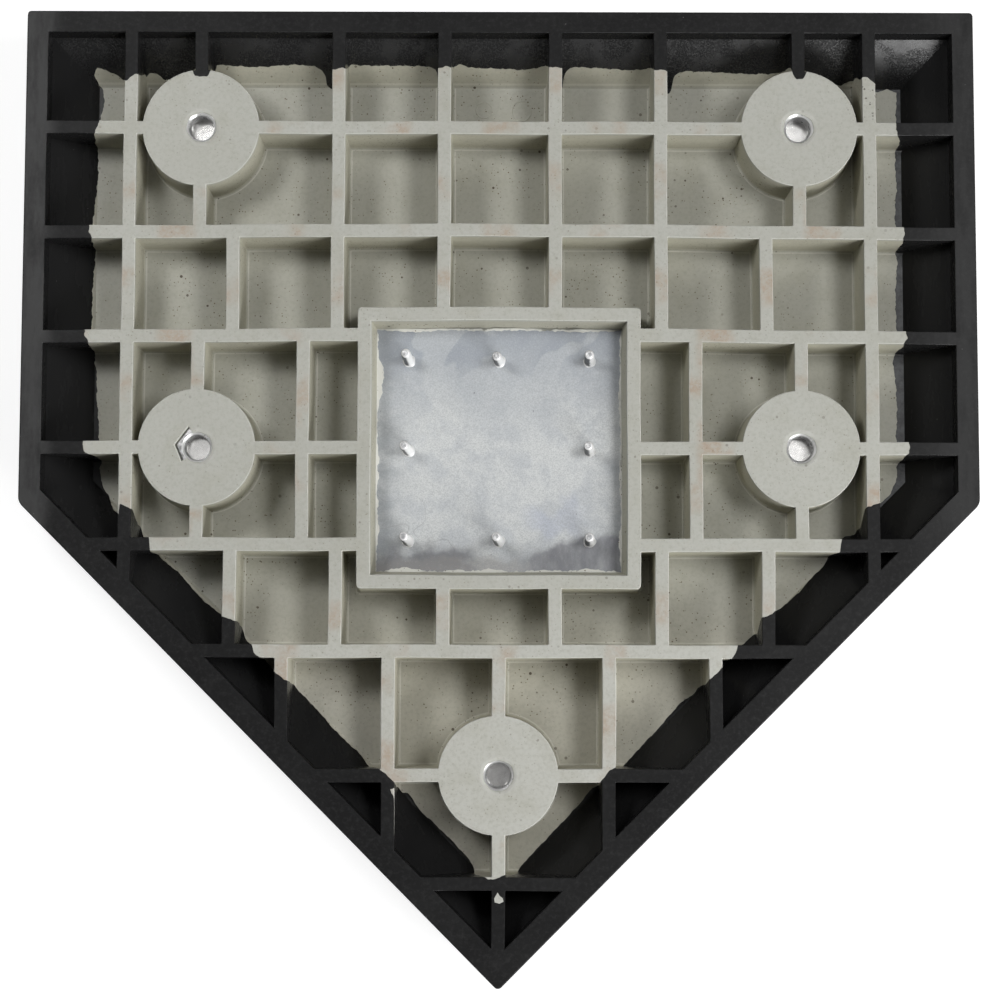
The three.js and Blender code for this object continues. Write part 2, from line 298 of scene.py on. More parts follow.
def arc_profile(radius, steps):
    """Quarter turn as (sideways, upwards) from 0, 0 to radius, radius, starting upright."""
    turns = [math.pi / 2 * i / steps for i in range(steps + 1)]
    return [(radius * (1 - math.cos(t)), radius * math.sin(t)) for t in turns]


# Pockets between the ribs

def cell(x0, y0, x1, y1):
    """Corners of a pocket as (x, y, nx, ny, radius), where nx and ny point into the pocket."""
    return [
        (x0, y0, 1, 1, CORNER), (x1, y0, -1, 1, CORNER),
        (x1, y1, -1, -1, CORNER), (x0, y1, 1, -1, CORNER),
    ]


def pocket_cells():
    """Cells with x above zero, each with the boss at one of its corners, and those across the middle."""
    near = [COLUMN_1, COLUMN_2, BOSS_COLUMN, COLUMN_4]
    even = [COLUMN_1, COLUMN_2, COLUMN_3, COLUMN_4]
    beside = [FRAME_HALF - HALF_RIB, FRAME_COLUMN, BOSS_COLUMN, COLUMN_4]
    rear = [0.0, REAR_COLUMN, REAR_COLUMN + RIB_PITCH]
    bands = [
        (FAR, ROW_1, near), (ROW_1, ROW_2, near), (ROW_2, ROW_3, even), (ROW_3, ROW_4, beside),
        (ROW_4, ROW_5, beside), (ROW_5, ROW_6, even), (ROW_6, ROW_7, rear),
        (ROW_7, ROW_8, rear[:2]), (ROW_8, -FAR, rear[:1]),
    ]
    sides, middles = [], []
    for upper, lower, columns in bands:
        y0, y1 = lower + HALF_RIB, upper - HALF_RIB
        for a, b in zip(columns, columns[1:] + [FAR]):
            corners = cell(a + HALF_RIB, y0, b - HALF_RIB, y1)
            if columns is even and a == columns[0]:
                corners = around_frame(corners, 1 if upper == ROW_2 else -1)
            bosses = [(cx, cy) for cx, cy in BOSSES.values() if cx in (a, b) and cy in (upper, lower)]
            sides.append((corners, bosses[0] if bosses else None))
        if columns is near or columns is even:
            low = ROW_4 + FRAME_HALF if upper == ROW_2 else y0
            high = ROW_4 - FRAME_HALF if upper == ROW_5 else y1
            x = columns[0] - HALF_RIB
            middles.append(cell(-x, low, x, high))
    return sides, middles


def around_frame(corners, side):
    """A cell that a corner of the square frame reaches into, in front of it (1) or behind it (-1)."""
    start = corners[0] if side > 0 else corners[3]
    edge = ROW_4 + side * FRAME_HALF
    bite = [
        (start[0], edge, 1, side, CORNER), (FRAME_HALF, edge, 1, side, FRAME_CORNER),
        (FRAME_HALF, start[1], 1, side, CORNER),
    ]
    return bite + corners[1:] if side > 0 else corners[:3] + bite[::-1]


def boss_arc(corner, boss, far_wall, inset, steps=20):
    """Points along the boss in a pocket's corner, and whether the gap beyond its row wall has closed."""
    nx, ny = corner[2], corner[3]
    radius = BOSS_RADIUS + inset
    wall = HALF_RIB + inset
    reach = math.sqrt(radius ** 2 - wall ** 2)
    limit = nx * (far_wall - boss[0]) - inset
    closed = reach > limit
    end = (limit, math.sqrt(radius ** 2 - limit ** 2)) if closed else (reach, wall)
    first = math.atan2(reach, wall)
    last = math.atan2(end[1], end[0])
    angles = [first + (last - first) * i / steps for i in range(steps + 1)]
    points = [(boss[0] + nx * radius * math.cos(a), boss[1] + ny * radius * math.sin(a)) for a in angles]
    return (points if nx * ny > 0 else points[::-1]), points[-1], closed


def bell(at, place, width, height):
    return height * math.exp(-((at - place) / width) ** 2)


def bowed(x, y):
    """Place of a point on the ribs and frame, which came out of the mould slightly bowed."""
    arch = bell(y, 105.0, 50.0, 1.0) * (math.cos(math.pi * x / 260.0) - 0.15)
    spread = 0.45 * math.sin(2 * math.pi * x / 375.0) - bell(x, -76.0, 22.0, 0.3)
    waver_x = 0.15 * math.sin(y / 17.0 + x / 40.0)
    waver_y = 0.15 * math.sin(x / 15.0 + y / 50.0)
    return x + spread + waver_x, y + arch + waver_y


def bowed_levels(levels, longest=7.0):
    """Levels whose long straight stretches are divided alike, with every point bowed."""
    first = levels[0][0]
    counts = [max(1, round(math.dist(p, q) / longest)) for p, q in zip(first, first[1:] + first[:1])]

    def divided(ring):
        return [
            bowed(x0 + (x1 - x0) * i / count, y0 + (y1 - y0) * i / count)
            for (x0, y0), (x1, y1), count in zip(ring, ring[1:] + ring[:1], counts)
            for i in range(count)
        ]
    return [(divided(ring), z) for ring, z in levels]


def pocket_ring(corners, boss, inset, steps=4):
    """Ring round a pocket, moved inwards by the inset, with round corners and the boss cut out of one."""
    count = len(corners)
    places = [[(x + nx * inset, y + ny * inset)] for x, y, nx, ny, _ in corners]
    plain = [True] * count
    for k, (x, y, nx, ny, _) in enumerate(corners):
        if boss and max(abs(abs(x - boss[0]) - HALF_RIB), abs(abs(y - boss[1]) - HALF_RIB)) < TINY:
            beyond = (k + 1) % count if nx * ny > 0 else k - 1
            places[k], end, closed = boss_arc(corners[k], boss, corners[beyond][0], inset)
            plain[k] = False
            if closed:
                places[beyond] = [end]
    ring = []
    for k in range(count):
        if not plain[k]:
            ring += places[k]
            continue
        here = np.array(places[k][0])
        back = np.array(places[k - 1][-1]) - here
        ahead = np.array(places[(k + 1) % count][0]) - here
        radius = min(corners[k][4], 0.45 * np.linalg.norm(back), 0.45 * np.linalg.norm(ahead))
        if radius < TINY:
            ring += [tuple(here)] * (steps + 1)
            continue
        back, ahead = unit(back), unit(ahead)
        centre = here + (back + ahead) * radius
        for i in range(steps + 1):
            turn = math.pi / 2 * i / steps
            ring.append(tuple(centre - (ahead * math.cos(turn) + back * math.sin(turn)) * radius))
    return ring


def pockets():
    """What is cut out between the ribs: drafted walls with a fillet at the floor and a rounded lip."""
    profile = [(DRAFT + a, FLOOR + FILLET - b) for a, b in arc_profile(FILLET, 3)][::-1]
    profile += [(-a, TOP - LIP + b) for a, b in arc_profile(LIP, 3)] + [(-LIP, TOP + 2.0)]
    sides, middles = pocket_cells()
    shapes = []
    for corners, boss in sides:
        levels = [(pocket_ring(corners, boss, inset), z) for inset, z in profile]
        mirrored = [([(-x, y) for x, y in ring[::-1]], z) for ring, z in levels]
        shapes += [loft(bowed_levels(levels)), loft(bowed_levels(mirrored))]
    for corners in middles:
        shapes.append(loft(bowed_levels([(pocket_ring(corners, None, inset), z) for inset, z in profile])))
    return shapes


def rim_bowl():
    """The wide hollow inside the rim: sloping sides below, an upright wall and a rounded lip above."""
    def level(scale, extra, z):
        insets = [rim + (CREASE_INSET - rim) * scale + extra for rim in RIM_INSETS]
        return [tuple(p) for p in outline(insets)[::-1]], z
    wall, under = 0.3, 4.0
    crease = (SLOPE_TOP - FLOOR + under) / (SLOPE_TOP - FLOOR)
    levels = [level(crease, wall, FLOOR - under), level(0.0, wall, SLOPE_TOP)]
    levels += [level(0.0, -a, TOP - LIP + b) for a, b in arc_profile(LIP, 3)]
    return loft(levels + [level(0.0, -LIP, TOP + 3.0)])


def outside():
    """Bevelled outside of the plate, with softened edges."""
    def level(inset, z):
        share = inset / BORDER
        radii = [max(r + (FACE_RADIUS - r) * share, 0.4) for r in OUTER_RADII]
        return rounded(outline([inset] * 5), radii), z
    face = [(BORDER + 0.5, 0.0), (BORDER + 0.1, 0.1), (BORDER - 0.4, 0.4)]
    bevel = [(0.5, BEVEL_DROP - 0.4), (0.12, BEVEL_DROP), (0.0, BEVEL_DROP + 0.7)]
    foot = [(a, TOP - OUTER_LIP + b) for a, b in arc_profile(OUTER_LIP, 4)]
    return loft([level(inset, z) for inset, z in face + bevel + foot])


# Wandering line between the two rubbers, read off the photograph on the plane of the rim.
# LOW is where it shows on the floors and slopes, HIGH where it crosses the tops of ribs and bosses.
# Each edge runs clockwise. Its points are (x, y), or (y, x) on the right and left edges.
LOW = {"front": [
    (-206.5, 212.5), (-205.2, 216.5), (-202.5, 216), (-195, 212.7), (-190.4, 210.2), (-186, 214),
    (-182.5, 211.5), (-180.2, 211.9), (-177.5, 214), (-173.7, 213), (-170, 210.2), (-160, 212), (-152, 219),
    (-145.2, 214.5), (-144.2, 218.2), (-125, 217.2), (-103.7, 218.4), (-95.6, 217.7), (-91.2, 216),
    (-88.9, 212.5), (-88.1, 208), (-84.6, 205.6), (-81, 214), (-77.4, 216.5), (-75.6, 218.7), (-70, 218.1),
    (-50, 218), (-37, 217.7), (-34.2, 217), (-32.3, 215), (-31.6, 211), (-31, 206), (-28, 216), (-23, 217.5),
    (-20.4, 218.8), (-18, 218.5), (-16.2, 217.2), (3.7, 216.5), (11.9, 216), (21.2, 217.7), (25, 218),
    (29, 214), (31.6, 206), (32.3, 211), (33.2, 214), (34.6, 216.3), (37, 217.5), (52.5, 216.9), (67.5, 216),
    (77.5, 217), (82, 210), (85.6, 203.5), (87.2, 206), (88, 210.5), (88.8, 213), (91, 214.7), (95, 215.5),
    (110, 215), (130, 214.1), (142, 214.7), (151, 219), (160, 212), (173, 208.5), (178.7, 210.5), (183, 210.7),
    (187, 210), (191, 205), (197.5, 206.2), (201.9, 204.7),
], "right": [
    (204.7, 201.9), (196, 201.4), (188, 201.2), (178.7, 201.9), (173, 200.6), (160, 200.8), (157.5, 201.4),
    (150, 200.6), (138, 200.2), (129, 202.5), (123, 200), (118.7, 201), (100, 200), (84, 200.2), (75.6, 203),
    (71, 199.2), (65, 198.4), (57, 199.4), (41, 200), (27, 199.4), (18.7, 202), (13.7, 199.7), (10, 199.7),
    (5, 198.5), (0, 196.2), (-5, 191.2),
], "right_slant": [
    (191.2, -5), (187, -7), (183.5, -8.7), (181.9, -12.5), (180, -17.5), (177.5, -20.6), (170.6, -23),
    (165, -30.6), (164, -34), (157.5, -41.2), (147.5, -51.9), (139, -58.7), (134, -61.5), (130.8, -63.5),
    (129.6, -68.5), (127.5, -71), (125, -72.5), (121.9, -75.6), (112, -84), (106, -93), (102.5, -95.6),
    (99.4, -97.5), (96.2, -101), (91.2, -104.4), (80, -116.9), (68.7, -128.7), (60.6, -137.2), (55, -140),
    (49.4, -145.6), (45, -148.7), (41.2, -153.7), (30, -165.6), (17.5, -178.7), (11.2, -185.6), (8.8, -189.6),
    (0, -192),
], "left_slant": [
    (0, -192), (-11, -190), (-12.6, -185), (-17.5, -178.7), (-31.2, -165), (-38.7, -158.1), (-43.1, -151.9),
    (-45.2, -149.4), (-47.5, -149.2), (-50, -146.5), (-57, -139.5), (-64.2, -136.5), (-67, -132.5), (-80, -120),
    (-93.7, -105), (-98.7, -100.2), (-101, -97.2), (-103.5, -95), (-107, -93.5), (-120, -80), (-124.6, -75.4),
    (-126.4, -73), (-127.6, -68.7), (-128.8, -65.4), (-136, -63), (-141.2, -59.4), (-150, -51.9),
    (-158.7, -41.9), (-170, -32.3), (-176, -26), (-178.3, -21.5), (-179.4, -17.5), (-181.9, -13.1),
    (-183.8, -9), (-187.5, -8.5), (-190.6, -11.2),
], "left": [
    (-11.2, -190.6), (-8.7, -193.1), (-2.5, -195.6), (5, -199.4), (12, -200.2), (18, -199), (22, -203),
    (26.2, -201), (37.5, -201.5), (47.5, -202.5), (57.5, -202.6), (66.2, -203.7), (74, -203.9), (79, -207),
    (83.7, -205.6), (100, -205.5), (118.7, -204.4), (126, -204), (131, -206.5), (137, -205.9), (144, -205.2),
    (162.5, -203.7), (173, -204), (180, -203.7), (184.5, -205.5), (190, -203.1), (195, -201.9), (200, -201.2),
    (204.4, -201.9), (208, -204), (212.5, -206.5),
]}
HIGH = {"front": [
    (-206.5, 211), (-190.4, 210.2), (-188, 211.9), (-184.6, 213.7), (-182, 212.6), (-176, 216), (-157.2, 217),
    (-155.7, 213.2), (-154.6, 212.5), (-149.5, 212.2), (-148.2, 213.4), (-146.8, 217.5), (-100, 217),
    (-84.4, 216.2), (-81.5, 217), (-77.5, 216.4), (-50, 217), (-31, 217), (-27.5, 218), (-24.2, 217.2),
    (0, 217), (25, 217.5), (28, 217.8), (31.5, 216.8), (60, 216.5), (78.4, 216.2), (82, 216.6), (85.4, 215.4),
    (120, 216.5), (148, 217), (149.7, 213), (151.5, 211.6), (154, 212), (155.6, 214), (157, 217), (176, 215),
    (183, 211.2), (185, 212.7), (187, 212.7), (188.8, 211.2), (190.6, 209.8), (201.9, 207),
], "right": [
    (204.7, 202), (189, 201.2), (186, 201.5), (182.4, 202.2), (160, 203), (135.6, 204.4), (132.5, 205),
    (129.4, 204.4), (105, 204.5), (82.4, 205), (79, 205.6), (75.7, 204), (50, 205), (25.6, 205.6),
    (23.5, 206.2), (20.6, 206), (18.7, 204), (5, 199), (-5, 191.2),
], "right_slant": [
    (191.2, -4.7), (188.7, -5.6), (185, -6.5), (178, -15), (172, -22.5), (171.2, -25.6), (170.8, -29),
    (155, -44), (138.7, -58.2), (135.6, -61.2), (131.2, -62.2), (124, -70), (119.3, -76.5), (118.7, -78.7),
    (116.6, -82.4), (111, -87.5), (109.6, -89.6), (104.8, -93.2), (80, -117), (58, -136.8), (55, -138.7),
    (52, -142.5), (49.6, -145), (25, -170), (4, -189.4), (0, -191.2),
], "left_slant": [
    (0, -191.2), (-3.3, -192), (-25, -171), (-48, -147.5), (-52.5, -143.7), (-56.9, -139.4), (-59.5, -137.4),
    (-80, -118), (-103.8, -94.7), (-106.2, -94), (-110.8, -90.4), (-118.7, -83), (-122.2, -80), (-122.8, -76.6),
    (-126.6, -74.4), (-128.4, -66.4), (-131.2, -64.6), (-135.6, -63.4), (-137.8, -62.2), (-155, -46),
    (-171, -33.5), (-173.9, -31.2), (-174.6, -29), (-175, -23.5), (-180, -15), (-184, -8.6), (-187.5, -7.2),
    (-190.6, -6.2),
], "left": [
    (-11.2, -190.6), (-5, -193), (5, -201), (18.8, -206), (20, -208), (23, -209.3), (25.6, -209), (50, -208),
    (76, -207.5), (79.4, -209.3), (82.5, -209), (105, -207), (128.8, -206.4), (132.5, -208.1), (135.6, -207.6),
    (160, -206), (182, -206), (184, -205.5), (187.5, -204.4), (189, -203.6), (204, -204), (212.5, -206.5),
]}


def monotone(pairs, at):
    """Smooth curve through the points that never swings past them."""
    x, y = np.array(sorted(pairs), float).T
    step = np.diff(x)
    slope = np.diff(y) / step
    tangent = np.zeros(len(x))
    same = slope[1:] * slope[:-1] > 0
    mean = 2 * slope[1:] * slope[:-1] / np.where(same, slope[1:] + slope[:-1], 1.0)
    tangent[1:-1] = np.where(same, mean, 0.0)
    tangent[0], tangent[-1] = slope[0], slope[-1]
    k = np.clip(np.searchsorted(x, at) - 1, 0, len(step) - 1)
    t = (at - x[k]) / step[k]
    return (
        y[k] * (1 + 2 * t) * (1 - t) ** 2 + y[k + 1] * t ** 2 * (3 - 2 * t)
        + step[k] * (tangent[k] * t * (1 - t) ** 2 - tangent[k + 1] * t ** 2 * (1 - t))
    )


def ragged(distance, shift):
    """Small unevenness of a torn rubber edge, in millimetres."""
    waves = ((9.1, 0.16), (5.3, 0.13), (3.1, 0.1), (2.0, 0.06))
    return sum(h * np.sin(2 * math.pi * distance / w + shift * (1.7 + w)) for w, h in waves)


def slope_height(x, y):
    """Height of the floor or of the slope around it."""
    height = FLOOR
    for k in range(5):
        start, _, inward = face_edge(k)
        inset = BORDER + float((np.array((x, y)) - start) @ inward)
        rise = (CREASE_INSET - inset) / (CREASE_INSET - RIM_INSETS[k]) * (SLOPE_TOP - FLOOR)
        height = max(height, FLOOR + rise)
    return min(height, SLOPE_TOP)


def landing(x, y):
    """Where the sight line through a point of the rim's plane meets the floor or slope."""
    height = FLOOR
    for _ in range(8):
        share = (TOP - height) / (EYE[2] - TOP)
        px = x + (x - EYE[0]) * share
        py = y + (y - EYE[1]) * share
        height = slope_height(px, py)
    return px, py


def parting():
    """Solid inside the wandering line: the face below, the floor line, then the rib-top line."""
    face, low, high = [], [], []
    corners = outline([BORDER + FACE_SEAM] * 5)
    for k, name in enumerate(LOW):
        first, last = LOW[name][0][0], LOW[name][-1][0]
        spacing = 0.5 if "slant" in name else 0.7
        count = int(abs(last - first) / spacing)
        share = np.arange(count) / count
        at = first + (last - first) * share
        across_low = monotone(LOW[name], at) + ragged(at, k + 1.0)
        across_high = monotone(HIGH[name], at) + ragged(at, k + 4.0)
        for i in range(count):
            near, far = (at[i], across_low[i]), (at[i], across_high[i])
            if name in ("right", "left"):
                near, far = near[::-1], far[::-1]
            low.append(landing(near[0], near[1] - LINE_SHIFT))
            high.append((far[0], far[1] - LINE_SHIFT))
            face.append(tuple(corners[k] + (corners[(k + 1) % 5] - corners[k]) * share[i]))
    levels = [(face, -2.0), (face, 0.0), (low, LINE_LOW), (low, LINE_HIGH), (high, TOP), (high, TOP + 4.0)]
    return loft([(ring[::-1], z) for ring, z in levels])


def stray_chips():
    """White rubber that strayed onto two black ribs: a chip near the point and a thread down a rib's edge."""
    chip = [
        (-1.9, -201.8), (-1.7, -203.7), (0.6, -204.4), (2.7, -203.4), (2.3, -201.6), (0.8, -200.6), (-0.2, -198.9),
    ]
    thread = [
        (-53.6, -148.4), (-53.0, -150.2), (-51.9, -151.8), (-51.65, -153.6), (-51.5, -176.0),
        (-50.95, -176.0), (-50.9, -153.6), (-50.2, -152.0), (-49.8, -149.4), (-51.0, -147.6),
    ]
    return [loft([(ring, TOP - 1.2), (ring, TOP + 1.0)]) for ring in (chip, thread)]


# Recess over the steel plate, with a thin ragged film of rubber on the plate's edge

# Bulges of the film as (place, width, height), in the order of the sides: rear, right, front, left
FILM_BULGES = (
    ((-48, 7, 1.6), (-22, 5, 1.1), (-4, 6, 1.2), (45, 6, 1.5), (20, 9, 0.4)),
    ((-45, 5, 0.9), (-10, 12, 0.6), (30, 9, 0.8)),
    ((40, 10, 0.7), (0, 14, 0.5), (-40, 9, 0.9)),
    ((-40, 6, 3.0), (-30, 5, 1.6), (4, 3, 0.8), (14, 3, 1.0), (27, 4, 0.9), (40, 5, 1.0)),
)


def film(side, at):
    """How far the film reaches in from the foot of the recess wall, by side and place along it."""
    waves = ((0.9, 1, 0.25), (2.3, 2, 0.2), (4.7, 5, 0.2))
    rough = 0.5 + sum(h * math.sin(at * f + shift * side) for f, shift, h in waves)
    return max(0.1, rough + sum(bell(at, *bulge) for bulge in FILM_BULGES[side]))


def square_ring(half, uneven=False, steps=96):
    """Counter-clockwise square around the plate, from the rear left corner."""
    ring = []
    for side in range(4):
        for i in range(steps):
            at = -half + 2 * half * i / steps
            reach = half
            if uneven:
                reach -= film(side, at) * min(1.0, (half - abs(at)) / 3.0)
            x, y = [(at, -reach), (reach, at), (-at, reach), (-reach, -at)][side]
            ring.append(bowed(x, ROW_4 + y))
    return ring


def recess():
    """Hollow above the plate: the film's edge at the foot, then drafted walls and a rounded lip."""
    film_top, wall_foot = PLATE_TOP + 0.25, PLATE_TOP + 0.8
    foot = square_ring(RECESS_FOOT_HALF, True)
    levels = [(foot, PLATE_BOTTOM + 1.0), (foot, film_top), (square_ring(RECESS_FOOT_HALF), wall_foot)]
    levels += [(square_ring(RECESS_HALF + a), TOP - LIP + b) for a, b in arc_profile(LIP, 3)]
    return loft(levels + [(square_ring(RECESS_HALF + LIP), TOP + 2.0)])


# Inserts

def hexagon(x, y, flats, steps):
    """Ring on the hexagon of a nut, its points spread evenly by angle."""
    def reach(angle):
        return flats / 2 / math.cos((angle - NUT_TURN) % (math.pi / 3) - math.pi / 6)
    return turning(x, y, reach, steps)


def insert_hollow(x, y, steps=72):
    """Room for a nut and its disc, open at the top through an uneven, slightly dished hole in the skin."""
    def mouth(radius):
        return turning(x, y, lambda a: radius + 0.15 * math.sin(3 * a + x) + 0.1 * math.sin(7 * a + y), steps)
    disc = circle(x, y, DISC_ROOM, steps)
    seat = hexagon(x, y, NUT_FLATS + NUT_ROOM, steps)
    return loft([
        (disc, DISC_BOTTOM), (disc, NUT_BOTTOM + 0.3), (seat, NUT_BOTTOM + 0.31), (seat, NUT_TOP + 0.05),
        (mouth(SKIN_HOLE + 0.05), NUT_TOP + 0.06), (mouth(SKIN_HOLE), TOP - 0.75),
        (mouth(SKIN_HOLE + 0.25), TOP - 0.45), (mouth(SKIN_MOUTH - 1.0), TOP - 0.25),
        (mouth(SKIN_MOUTH), TOP), (mouth(SKIN_MOUTH), TOP + 2.0),
    ])


def bare_hexagon(x, y):
    """Opening in the skin that leaves two corners of the nut's hexagon bare, on the side away from the frame."""
    def ring(wider):
        reach = NUT_FLATS / math.sqrt(3) + wider
        first, second, third = [
            np.array((x + reach * math.cos(NUT_TURN + turn), y + reach * math.sin(NUT_TURN + turn)))
            for turn in (math.pi / 3, 2 * math.pi / 3, math.pi)
        ]
        covered = second + (third - second) * 0.8
        return [tuple(c) for c in (first, second, covered)] + [(x - 4.0, y - 5.0), (x - 1.0, y + 5.6)]
    levels = [(0.25, NUT_TOP - 4.0), (0.25, TOP - 0.6), (0.45, TOP - 0.25), (1.1, TOP), (1.1, TOP + 2.0)]
    return loft([(ring(wider), z) for wider, z in levels])


def nut(x, y, steps=72):
    """Hexagon nut with a threaded bore and a wide countersunk mouth."""
    pitch, crest, rows_a_turn = 2.1, 0.5, 12
    height = NUT_TOP - 1.2 - NUT_BOTTOM
    rows = int(height / pitch * rows_a_turn)

    def level(ring, z):
        return [(px, py, z) for px, py in ring]

    def thread(rise):
        depth = crest * max(0.0, min(1.0, rise / pitch, (height - rise) / pitch))
        start = 2 * math.pi * (NUT_BOTTOM + rise) / pitch
        ring = turning(x, y, lambda angle: NUT_BORE - depth * (0.5 - 0.5 * math.cos(start - angle)), steps)
        return level(ring, NUT_BOTTOM + rise)
    rings = [thread(height * row / rows) for row in range(rows + 1)]
    for radius, drop in ((NUT_MOUTH - 0.3, 0.2), (NUT_MOUTH, 0.0)):
        rings.append(level(circle(x, y, radius, steps), NUT_TOP - drop))
    for flats, z in ((NUT_FLATS - 1.4, NUT_TOP), (NUT_FLATS, NUT_TOP - 0.8), (NUT_FLATS, NUT_BOTTOM)):
        rings.append(level(hexagon(x, y, flats, steps), z))
    return wrapped(rings[::-1])


def stud(x, y, lean_x, lean_y, steps=40):
    """Pin with a thin weld ring at its foot, leaning a little, its tip flattened."""
    weld = 0.8
    profile = [
        (3.2, 0.0), (3.15, 0.12), (2.9, 0.25), (2.7, 0.45), (2.65, 0.9), (2.4, 12.6), (2.2, 13.2), (1.75, 13.7),
        (1.0, 13.95),
    ]

    def level(radius, z):
        uneven = max(0.0, 1.0 - z / weld)
        share = z / STUD_HEIGHT

        def reach(angle):
            return radius + uneven * (0.12 * math.sin(3 * angle + x) + 0.08 * math.sin(5 * angle + y))
        return turning(x + lean_x * share, y + lean_y * share, reach, steps), PLATE_TOP + z
    return loft([level(radius, z) for radius, z in profile])


def mould_ring(x, y, radius, bead=0.35, steps=48, around=8):
    """Thin raised ring on a pocket floor."""
    rings = []
    for i in range(around):
        angle = 2 * math.pi * i / around
        reach = radius + bead * math.cos(angle)
        rings.append([(px, py, FLOOR + bead * 0.8 * math.sin(angle)) for px, py in circle(x, y, reach, steps)])
    return wrapped(rings[::-1])


# Materials

class Nodes:
    """A node tree under construction."""

    def __init__(self, tree):
        self.tree = tree
        tree.nodes.clear()

    def add(self, kind, sockets=None, **settings):
        node = self.tree.nodes.new(kind)
        for key, value in settings.items():
            setattr(node, key, value)
        for key, value in (sockets or {}).items():
            if isinstance(value, bpy.types.NodeSocket):
                self.tree.links.new(value, node.inputs[key])
            else:
                node.inputs[key].default_value = value
        return node

    def math(self, operation, *values, clamp=False):
        sockets = dict(enumerate(values))
        return self.add("ShaderNodeMath", sockets, operation=operation, use_clamp=clamp).outputs[0]


class Paint(Nodes):
    """A material under construction, on the piece's own coordinates in metres."""

    def __init__(self, name):
        self.material = bpy.data.materials.new(name)
        self.material.use_nodes = True
        super().__init__(self.material.node_tree)
        self.place = self.add("ShaderNodeTexCoord").outputs["Object"]
        self.x, self.y, self.z = self.add("ShaderNodeSeparateXYZ", {0: self.place}).outputs
        self.colour = None

    def noise(self, scale, detail=3.0, roughness=0.55, stretch=None, distortion=0.0):
        vector = self.place
        if stretch:
            vector = self.add("ShaderNodeMapping", {"Vector": vector, "Scale": stretch}).outputs[0]
        sockets = {"Vector": vector, "Scale": scale, "Detail": detail, "Roughness": roughness,
                   "Distortion": distortion}
        return self.add("ShaderNodeTexNoise", sockets).outputs["Fac"]

    def span(self, value, low, high, to_low=0.0, to_high=1.0):
        """Smooth step from one value to another."""
        sockets = {"Value": value, "From Min": low, "From Max": high, "To Min": to_low, "To Max": to_high}
        return self.add("ShaderNodeMapRange", sockets, interpolation_type="SMOOTHSTEP").outputs[0]

    def step(self, length, low, high, to_low=0.0, to_high=1.0):
        """Smooth step on a length in metres, between bounds in millimetres."""
        return self.span(length, low * MM, high * MM, to_low, to_high)

    def times(self, product, *others):
        for other in others:
            product = self.math("MULTIPLY", product, other)
        return product

    def apart(self, value, other):
        return self.math("ABSOLUTE", self.math("SUBTRACT", value, other))

    def swayed(self, value, noise, swing):
        """A value moved up and down by a noise, in all as far as the swing."""
        return self.math("ADD", value, self.times(self.math("SUBTRACT", noise, 0.5), swing))

    def mix(self, factor, a, b):
        a, b = [(*tone, 1.0) if isinstance(tone, tuple) else tone for tone in (a, b)]
        return self.add("ShaderNodeMix", {0: factor, 6: a, 7: b}, data_type="RGBA").outputs[2]

    def coat(self, tone, *masks):
        """Lays a tone over the colour so far, as strongly as the product of the masks."""
        self.colour = self.mix(self.times(*masks), self.colour, tone)

    def specks(self, scale, size, share):
        """Scattered dots: 1 inside a dot. Size is the dot's radius as a share of a cell."""
        cells = self.add("ShaderNodeTexVoronoi", {"Vector": self.place, "Scale": scale}, feature="F1")
        chosen = self.add("ShaderNodeSeparateColor", {0: cells.outputs["Color"]})
        inside = self.math("LESS_THAN", cells.outputs["Distance"], self.times(chosen.outputs[1], size))
        return self.times(inside, self.math("LESS_THAN", chosen.outputs[0], share))

    def band(self, low, high, blur, strength):
        """The strength between two heights in millimetres, blurred outwards, and 0 elsewhere."""
        return self.times(self.step(self.z, low - blur, low), self.step(self.z, high + blur, high, 0.0, strength))

    def distance(self, vector, x, y, z=0.0):
        """Distance in metres from a point in millimetres."""
        sockets = {0: vector, 1: (x * MM, y * MM, z * MM)}
        return self.add("ShaderNodeVectorMath", sockets, operation="DISTANCE").outputs["Value"]

    def nearest(self, places):
        """Distance in plan from the nearest of some points, in metres."""
        flat = self.add("ShaderNodeCombineXYZ", {0: self.x, 1: self.y}).outputs[0]
        least, *others = [self.distance(flat, x, y) for x, y in places]
        for other in others:
            least = self.math("MINIMUM", least, other)
        return least

    def bump(self, height, distance, strength=1.0, normal=None):
        sockets = {"Height": height, "Distance": distance * MM, "Strength": strength}
        if normal:
            sockets["Normal"] = normal
        return self.add("ShaderNodeBump", sockets).outputs[0]

    def finish(self, rough, normal, metallic=0.0, specular=0.5):
        shader = self.add("ShaderNodeBsdfPrincipled", {
            "Base Color": self.colour, "Roughness": rough, "Normal": normal,
            "Metallic": metallic, "Specular IOR Level": specular,
        })
        self.add("ShaderNodeOutputMaterial", {"Surface": shader.outputs[0]})
        return self.material


WHITE_DULL = (0.445, 0.445, 0.4)
WHITE_CLEAN = (0.475, 0.477, 0.434)
WHITE_WARM_SHADE = (0.46, 0.447, 0.365)
WHITE_REAR = (0.56, 0.56, 0.515)
WHITE_REAR_WARM_SHADE = (0.56, 0.535, 0.45)
WHITE_BLOTCH = (0.38, 0.37, 0.3)
WHITE_GRAIN = (0.3, 0.295, 0.24)
WHITE_RING_HIGHLIGHT = (0.6, 0.6, 0.57)
WHITE_FILLET_HIGHLIGHT = (0.66, 0.65, 0.58)
WHITE_LIP_HIGHLIGHT = (0.66, 0.66, 0.62)
WHITE_FILM_AND_LIGHT = (0.74, 0.74, 0.7)
SMUDGE = (0.4, 0.3, 0.22)
FOOT_SHADOW = (0.13, 0.13, 0.1)
DIRT = (0.15, 0.12, 0.075)
DARK_DIRT = (0.08, 0.06, 0.04)
PITS = (0.06, 0.05, 0.04)


